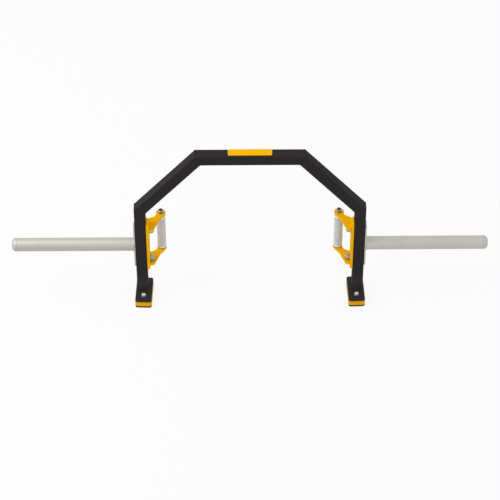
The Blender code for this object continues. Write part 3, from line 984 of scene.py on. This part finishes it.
def plain_nut(across, height, bore):
    """A hexagon nut, chamfered on both faces and at its bore."""
    corner, drop = hexagon_corner(across)
    face = across / 2 - chamfer_start
    blank = turn_blank(
        [
            (bore, 0.0007),
            (bore + 0.0007, 0),
            (face, 0),
            (corner, drop),
            (corner, height - drop),
            (face, height),
            (bore + 0.0007, height),
            (bore, height - 0.0007),
        ],
        sides=60,
        bored=True,
    )
    cut_flats(blank, across, height)
    return blank


bracket_nut = plain_nut(nut_across, nut_height, bolt_radius + nut_play)
bracket_washer = plain_washer(bolt_radius + washer_play, ring_rim, ring_height)
for side, label in ((-1, "left"), (1, "right")):
    for level in ("upper", "lower"):
        rise = middle_of("bracket_bolt_" + level + "_" + label).z
        for piece, name, start in (
            (countersunk_bolt, "bolt", outer_low.x),
            (bracket_washer, "washer", ring_low.x),
            (bracket_nut, "nut", nut_low.x),
        ):
            placed = duplicate(piece)
            set_in_place(placed, (-side * start, 0, rise), (-side, 0, 0))
            smooth(placed)
            name_and_finish(placed, label + "_" + level + "_bracket_" + name, bright_zinc)
            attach(placed, "frame")
            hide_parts("bracket_" + name + "_" + level + "_" + label)
for spare in (countersunk_bolt, bracket_nut, bracket_washer):
    bpy.data.objects.remove(spare)

# A grip is a 32 mm steel tube, diamond knurled between two plain bands, that turns on flanged
# bushes of black polymer pressed into its ends.
grip_low, grip_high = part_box("grip_tube_left")
grip_radius = (grip_high.x - grip_low.x) / 2
grip_length = grip_high.z - grip_low.z
grip_middle = (grip_low + grip_high) / 2
grip_bore = 0.012
grip_band = 0.011
knurl_sides = 132
knurl_rings = 180
knurl_depth = 0.00030
knurl_play = 0.00002
groove_height = 0.0002
band_edge = 0.0012
bush_play = 0.0003
band_radius = grip_radius - 0.0001
knurl_base = grip_radius - knurl_depth

knurled_steel = marked_steel(
    "knurled steel",
    tones=((0.85, 0.845, 0.83), (0.91, 0.905, 0.89)),
    roughness=(0.50, 0.64),
    stretch=(60.0, 60.0, 900.0),
    depth=0.00003,
    metallic=0.25,
)

# Painted shade in the grooves, which lie nearest to the grip's own axis, the same on both sides.
tree = knurled_steel.node_tree
where = object_place(tree)
aside = add(tree, "Math", {0: where["X"]}, operation="ABSOLUTE")
off_x = add(tree, "Math", {0: aside.outputs[0], 1: abs(grip_middle.x)}, operation="SUBTRACT")
off_y = add(tree, "Math", {0: where["Y"], 1: grip_middle.y}, operation="SUBTRACT")
off_axis = add(tree, "CombineXYZ", {"X": off_x.outputs[0], "Y": off_y.outputs[0]})
reach_out = add(tree, "VectorMath", {0: off_axis.outputs[0]}, operation="LENGTH")
groove_painted_shade = ramp(
    tree, reach_out.outputs["Value"], (knurl_base, knurl_base + groove_height), (0.5, 0.0)
)
tint(knurled_steel, groove_painted_shade, (0.10, 0.098, 0.094))
grip = turn_blank(
    [
        (grip_bore, 0.0004),
        (grip_bore + 0.0004, 0),
        (band_radius - band_edge, 0),
        (band_radius - band_edge / 4, band_edge / 4),
        (band_radius, band_edge),
        (band_radius, grip_band - band_edge),
        (band_radius - band_edge / 2, grip_band - band_edge / 2),
        (knurl_base, grip_band),
        (knurl_base, grip_length - grip_band),
        (band_radius - band_edge / 2, grip_length - grip_band + band_edge / 2),
        (band_radius, grip_length - grip_band + band_edge),
        (band_radius, grip_length - band_edge),
        (band_radius - band_edge / 4, grip_length - band_edge / 4),
        (band_radius - band_edge, grip_length),
        (grip_bore + 0.0004, grip_length),
        (grip_bore, grip_length - 0.0004),
    ],
    sides=knurl_sides,
    bored=True,
)
start_shaping(grip)


def long_on_knurl(edge):
    """True for the outside's edges along the grip while they are still uncut."""
    heights = [v.co.z for v in edge.verts]
    on_outside = min(math.hypot(v.co.x, v.co.y) for v in edge.verts) > knurl_base - same_place
    return on_outside and abs(heights[1] - heights[0]) > grip_length / 5


pick("EDGE", long_on_knurl)
bpy.ops.mesh.subdivide(number_cuts=1)
pick("EDGE", long_on_knurl)
bpy.ops.mesh.subdivide(number_cuts=knurl_rings // 2 - 1)
knurl_step = (grip_length - 2 * grip_band) / knurl_rings


def on_knurl_peak(v):
    """True for every second corner round and along the knurl, in turn."""
    around = round(math.atan2(v.co.y, v.co.x) / (2 * math.pi) * knurl_sides)
    up_along = (v.co.z - grip_band) / knurl_step
    inside_ends = 0.5 < up_along < knurl_rings - 0.5
    return (
        inside_ends
        and (around + round(up_along)) % 2 == 0
        and abs(math.hypot(v.co.x, v.co.y) - knurl_base) < same_place
    )


pick("VERT", on_knurl_peak)
peak_scale = (grip_radius - knurl_play) / knurl_base
bpy.ops.transform.resize(value=(peak_scale, peak_scale, 1), center_override=(0, 0, 0))
pick(
    "FACE",
    lambda face: max(math.hypot(v.co.x, v.co.y) for v in face.verts) > grip_radius - 2 * knurl_play,
)
bpy.ops.mesh.quads_convert_to_tris(quad_method="SHORTEST_DIAGONAL")
select_nothing()

bearing_polymer = moulded(
    "black bearing polymer",
    tones=((0.018, 0.018, 0.018), (0.028, 0.027, 0.027)),
    roughness=(0.35, 0.50),
    specular=0.4,
    grain_scale=500.0,
    grain_depth=0.0002,
)
bush_low, bush_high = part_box("grip_bush_upper_left")
bush_rim = (bush_high.x - bush_low.x) / 2
bush_height = bush_high.z - bush_low.z
bush_flange = bush_height - 0.0017
axle_radius = 0.005
bush_bore = axle_radius + bush_play
bush = turn_blank(
    [
        (bush_bore, 0.0005),
        (bush_bore + 0.0005, 0),
        (grip_bore - 0.0008, 0),
        (grip_bore - 0.0003, 0.0006),
        (grip_bore - 0.0003, bush_flange),
        (bush_rim - 0.0003, bush_flange),
        (bush_rim, bush_flange + 0.0003),
        (bush_rim, bush_height - 0.0004),
        (bush_rim - 0.0004, bush_height),
        (bush_bore + 0.0004, bush_height),
        (bush_bore, bush_height - 0.0004),
    ],
    sides=64,
    bored=True,
)
for label in ("left", "right"):
    body = label + "_grip"
    spot = middle_of("grip_tube_" + label)
    handle = duplicate(grip, shift=(spot.x, spot.y, grip_low.z))
    select_only(handle)
    bpy.ops.object.shade_smooth_by_angle(angle=math.radians(20))
    name_and_finish(handle, label + "_knurled_grip", knurled_steel)
    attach(handle, body)
    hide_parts("grip_tube_" + label)
    for level, rise in (("upper", 1), ("lower", -1)):
        end_bush = duplicate(bush)
        start = spot.z + rise * (bush_low.z - grip_middle.z)
        set_in_place(end_bush, (spot.x, spot.y, start), (0, 0, rise))
        smooth(end_bush)
        name_and_finish(end_bush, label + "_" + level + "_bush", bearing_polymer)
        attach(end_bush, body)
        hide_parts("grip_bush_" + level + "_" + label)
bpy.data.objects.remove(grip)
bpy.data.objects.remove(bush)

# Each grip turns on one blackened M10 hexagon bolt put in from below. A zinc plated washer and a
# lock nut with a black nylon ring hold it on top of the upper arm, flush with the bolt's end.
black_nylon = moulded(
    "black nylon",
    tones=((0.012, 0.012, 0.012), (0.018, 0.018, 0.018)),
    roughness=(0.35, 0.5),
    specular=0.4,
    grain_scale=600.0,
    grain_depth=0.0001,
)
black_oxide = moulded(
    "blackened steel",
    tones=((0.010, 0.010, 0.011), (0.018, 0.017, 0.017)),
    roughness=(0.30, 0.46),
    specular=0.4,
    grain_scale=900.0,
    grain_depth=0.00005,
)
axle_low, axle_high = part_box("grip_axle_left")
lock_low, lock_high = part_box("grip_nut_left")
insert_low, insert_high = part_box("grip_nut_insert_left")
seat_low, seat_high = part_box("grip_washer_left")
axle_across = 0.017
axle_head = 0.0064
axle_length = axle_high.z - axle_low.z
lock_hex = 0.0075
lock_height = lock_high.z - lock_low.z
lock_collar = 0.0074
lock_groove = 0.0025
insert_radius = (insert_high.x - insert_low.x) / 2
corner, drop = hexagon_corner(axle_across)
axle_bolt = turn_blank(
    [
        (axle_across / 2 - 0.0012, 0),
        (axle_across / 2 - chamfer_start, 0.0001),
        (corner, drop),
        (corner, axle_head - 0.0005),
        (axle_across / 2 - 0.0002, axle_head - 0.0005),
        (axle_across / 2 - 0.0002, axle_head),
        (axle_radius, axle_head),
        *thread(axle_radius, axle_length - 0.020, axle_length - 0.001, 0.0015),
        (axle_radius - 0.0012, axle_length),
    ],
    sides=56,
)
cut_flats(axle_bolt, axle_across, axle_length)
lock_nut = turn_blank(
    [
        (axle_radius + nut_play, 0.0007),
        (axle_radius + 0.0009, 0),
        (axle_across / 2 - chamfer_start, 0),
        (corner, drop),
        (corner, lock_hex - drop * 0.8),
        (lock_collar + 0.0006, lock_hex),
        (lock_collar, lock_hex + 0.0005),
        (lock_collar, lock_height - 0.0009),
        (lock_collar - 0.0003, lock_height - 0.0002),
        (lock_collar - 0.0005, lock_height),
        (insert_radius + 0.0002, lock_height),
        (insert_radius + 0.0002, lock_height - lock_groove),
        (axle_radius + nut_play, lock_height - lock_groove),
    ],
    sides=60,
    bored=True,
)
cut_flats(lock_nut, axle_across, lock_height)
insert_height = insert_high.z - insert_low.z
lock_insert = turn_blank(
    [
        (axle_radius - 0.0001, 0.0004),
        (axle_radius + 0.0002, 0),
        (insert_radius, 0),
        (insert_radius, insert_height - 0.0005),
        (insert_radius - 0.0006, insert_height - 0.0001),
        (axle_radius + 0.0004, insert_height - 0.0003),
        (axle_radius - 0.0001, insert_height - 0.0009),
    ],
    sides=60,
    bored=True,
)
seat_rim = (seat_high.x - seat_low.x) / 2
axle_washer = plain_washer(axle_radius + washer_play, seat_rim, seat_high.z - seat_low.z)
for label in ("left", "right"):
    spot = middle_of("grip_tube_" + label)
    for piece, name, level, finish, slot, node in (
        (axle_bolt, "_axle_bolt", axle_low.z, black_oxide, "black_steel", "grip_axle_"),
        (axle_washer, "_axle_washer", seat_low.z, bright_zinc, "zinc", "grip_washer_"),
        (lock_nut, "_lock_nut", lock_low.z, bright_zinc, "zinc", "grip_nut_"),
        (lock_insert, "_lock_nut_ring", insert_low.z, black_nylon, "nylon", "grip_nut_insert_"),
    ):
        placed = duplicate(piece, shift=(spot.x, spot.y, level))
        smooth(placed)
        name_and_finish(placed, label + name, finish)
        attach(placed, "frame")
        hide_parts(node + label)
for spare in (axle_bolt, lock_nut, lock_insert, axle_washer):
    bpy.data.objects.remove(spare)

# The badge is a 2 mm plate with rounded corners, yellow like the brackets and left bare inside a
# shallow pressed border. Two domed rivets hold it on top of the frame.
border = 0.0022
border_depth = 0.0004
facing_up = 0.99
badge_area = 0.001
badge = merged_copy("badge_plate")
start_shaping(badge)
pick("FACE", lambda face: face.normal.z > facing_up and face.calc_area() > badge_area)
bpy.ops.mesh.inset(thickness=border, depth=0)
bpy.ops.mesh.inset(thickness=border_depth, depth=-border_depth)
smooth(badge)
name_and_finish(badge, "bare_badge", yellow_coat)
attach(badge, "frame")
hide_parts("badge_plate")
rivet_low, rivet_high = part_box("badge_rivet_left")
rivet_rim = (rivet_high.x - rivet_low.x) / 2
rivet_head = 0.0012
rivet_bottom = rivet_high.z - rivet_head
rivet_shank = 0.0015
rivet_steps = 6
dome_radius = (rivet_rim**2 + rivet_head**2) / (2 * rivet_head)
rim_angle = math.acos(rivet_rim / dome_radius)
head_curve = []
for step in range(rivet_steps):
    turned_by = rim_angle + (math.pi / 2 - rim_angle) * step / rivet_steps
    rise = rivet_head - dome_radius + dome_radius * math.sin(turned_by)
    head_curve.append((dome_radius * math.cos(turned_by), rise))
rivet = turn_blank(
    [
        (rivet_shank, rivet_low.z - rivet_bottom),
        (rivet_shank, 0),
        *head_curve,
        (0.0002, rivet_head),
    ],
    sides=40,
)
for label in ("left", "right"):
    spot = middle_of("badge_rivet_" + label)
    placed = duplicate(rivet, shift=(spot.x, spot.y, rivet_bottom))
    smooth(placed, sharp_angle=45)
    name_and_finish(placed, label + "_badge_rivet", bright_zinc)
    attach(placed, "frame")
    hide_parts("badge_rivet_" + label)
bpy.data.objects.remove(rivet)

# The studio is a white floor without an edge, one wide lamp above and to the left, and the even
# light of white walls. The camera looks down on the bar from the front, as in the photograph.
lens = 173.4
camera_distance = 8.6
look_down = math.radians(47)
from_left = math.radians(0.44)
aim = Vector((0, 0, 0.2123))
floor_size = 60
floor_matt = (0.80, 0.80, 0.80, 1)
floor_white = 0.88
wall_light = 0.80
lamp_place = (-2.3, -0.2, 2.6)
lamp_aim = Vector((0, 0, 0.3))
lamp_size = 1.8
lamp_watts = 38


def larger(tree, first, second):
    """The larger of two values."""
    return add(tree, "Math", {0: first, 1: second}, operation="MAXIMUM").outputs[0]


select_nothing()
bpy.ops.mesh.primitive_plane_add(size=floor_size, location=(0, 0, 0))
floor = bpy.context.object
floor.name = "studio_floor"
floor_paint = bpy.data.materials.new("studio floor")
floor_paint.use_nodes = True
tree = floor_paint.node_tree
tree.nodes.clear()
rays = add(tree, "LightPath").outputs
matt = add(tree, "BsdfDiffuse", {"Color": floor_matt})
white = add(tree, "Emission", {"Color": (1, 1, 1, 1), "Strength": 1.0})
seen = add(tree, "Math", {0: rays["Is Camera Ray"], 1: floor_white}, operation="MULTIPLY")
mirrored = larger(tree, seen.outputs[0], rays["Is Glossy Ray"])
passed = larger(tree, mirrored, rays["Is Transmission Ray"])
blend = add(tree, "MixShader", {0: passed, 1: matt.outputs[0], 2: white.outputs[0]})
add(tree, "OutputMaterial", {"Surface": blend.outputs[0]})
floor.data.materials.append(floor_paint)

world = bpy.data.worlds.new("studio walls")
bpy.context.scene.world = world
world.use_nodes = True
tree = world.node_tree
tree.nodes.clear()
rays = add(tree, "LightPath").outputs
even = add(tree, "Background", {"Color": (1, 1, 1, 1), "Strength": wall_light})
white = add(tree, "Background", {"Color": (1, 1, 1, 1), "Strength": 1.0})
seen = larger(tree, rays["Is Camera Ray"], rays["Is Glossy Ray"])
passed = larger(tree, seen, rays["Is Transmission Ray"])
blend = add(tree, "MixShader", {0: passed, 1: even.outputs[0], 2: white.outputs[0]})
add(tree, "OutputWorld", {"Surface": blend.outputs[0]})

select_nothing()
bpy.ops.object.light_add(type="AREA", location=lamp_place)
lamp = bpy.context.object
lamp.name = "wide_lamp"
lamp.data.shape = "DISK"
lamp.data.size = lamp_size
lamp.data.energy = lamp_watts
lamp.rotation_mode = "QUATERNION"
lamp.rotation_quaternion = (lamp.location - lamp_aim).to_track_quat("Z", "Y")

bpy.ops.object.camera_add()
camera = bpy.context.object
camera.name = "photograph_view"
camera.data.sensor_width = 36
camera.data.lens = lens
camera.data.clip_end = 200
back = Vector(
    (
        -math.sin(from_left) * math.cos(look_down),
        -math.cos(from_left) * math.cos(look_down),
        math.sin(look_down),
    )
)
camera.location = aim + back * camera_distance
camera.rotation_mode = "QUATERNION"
camera.rotation_quaternion = (-back).to_track_quat("-Z", "Y")
bpy.context.scene.camera = camera
bpy.context.scene.view_settings.view_transform = "Standard"
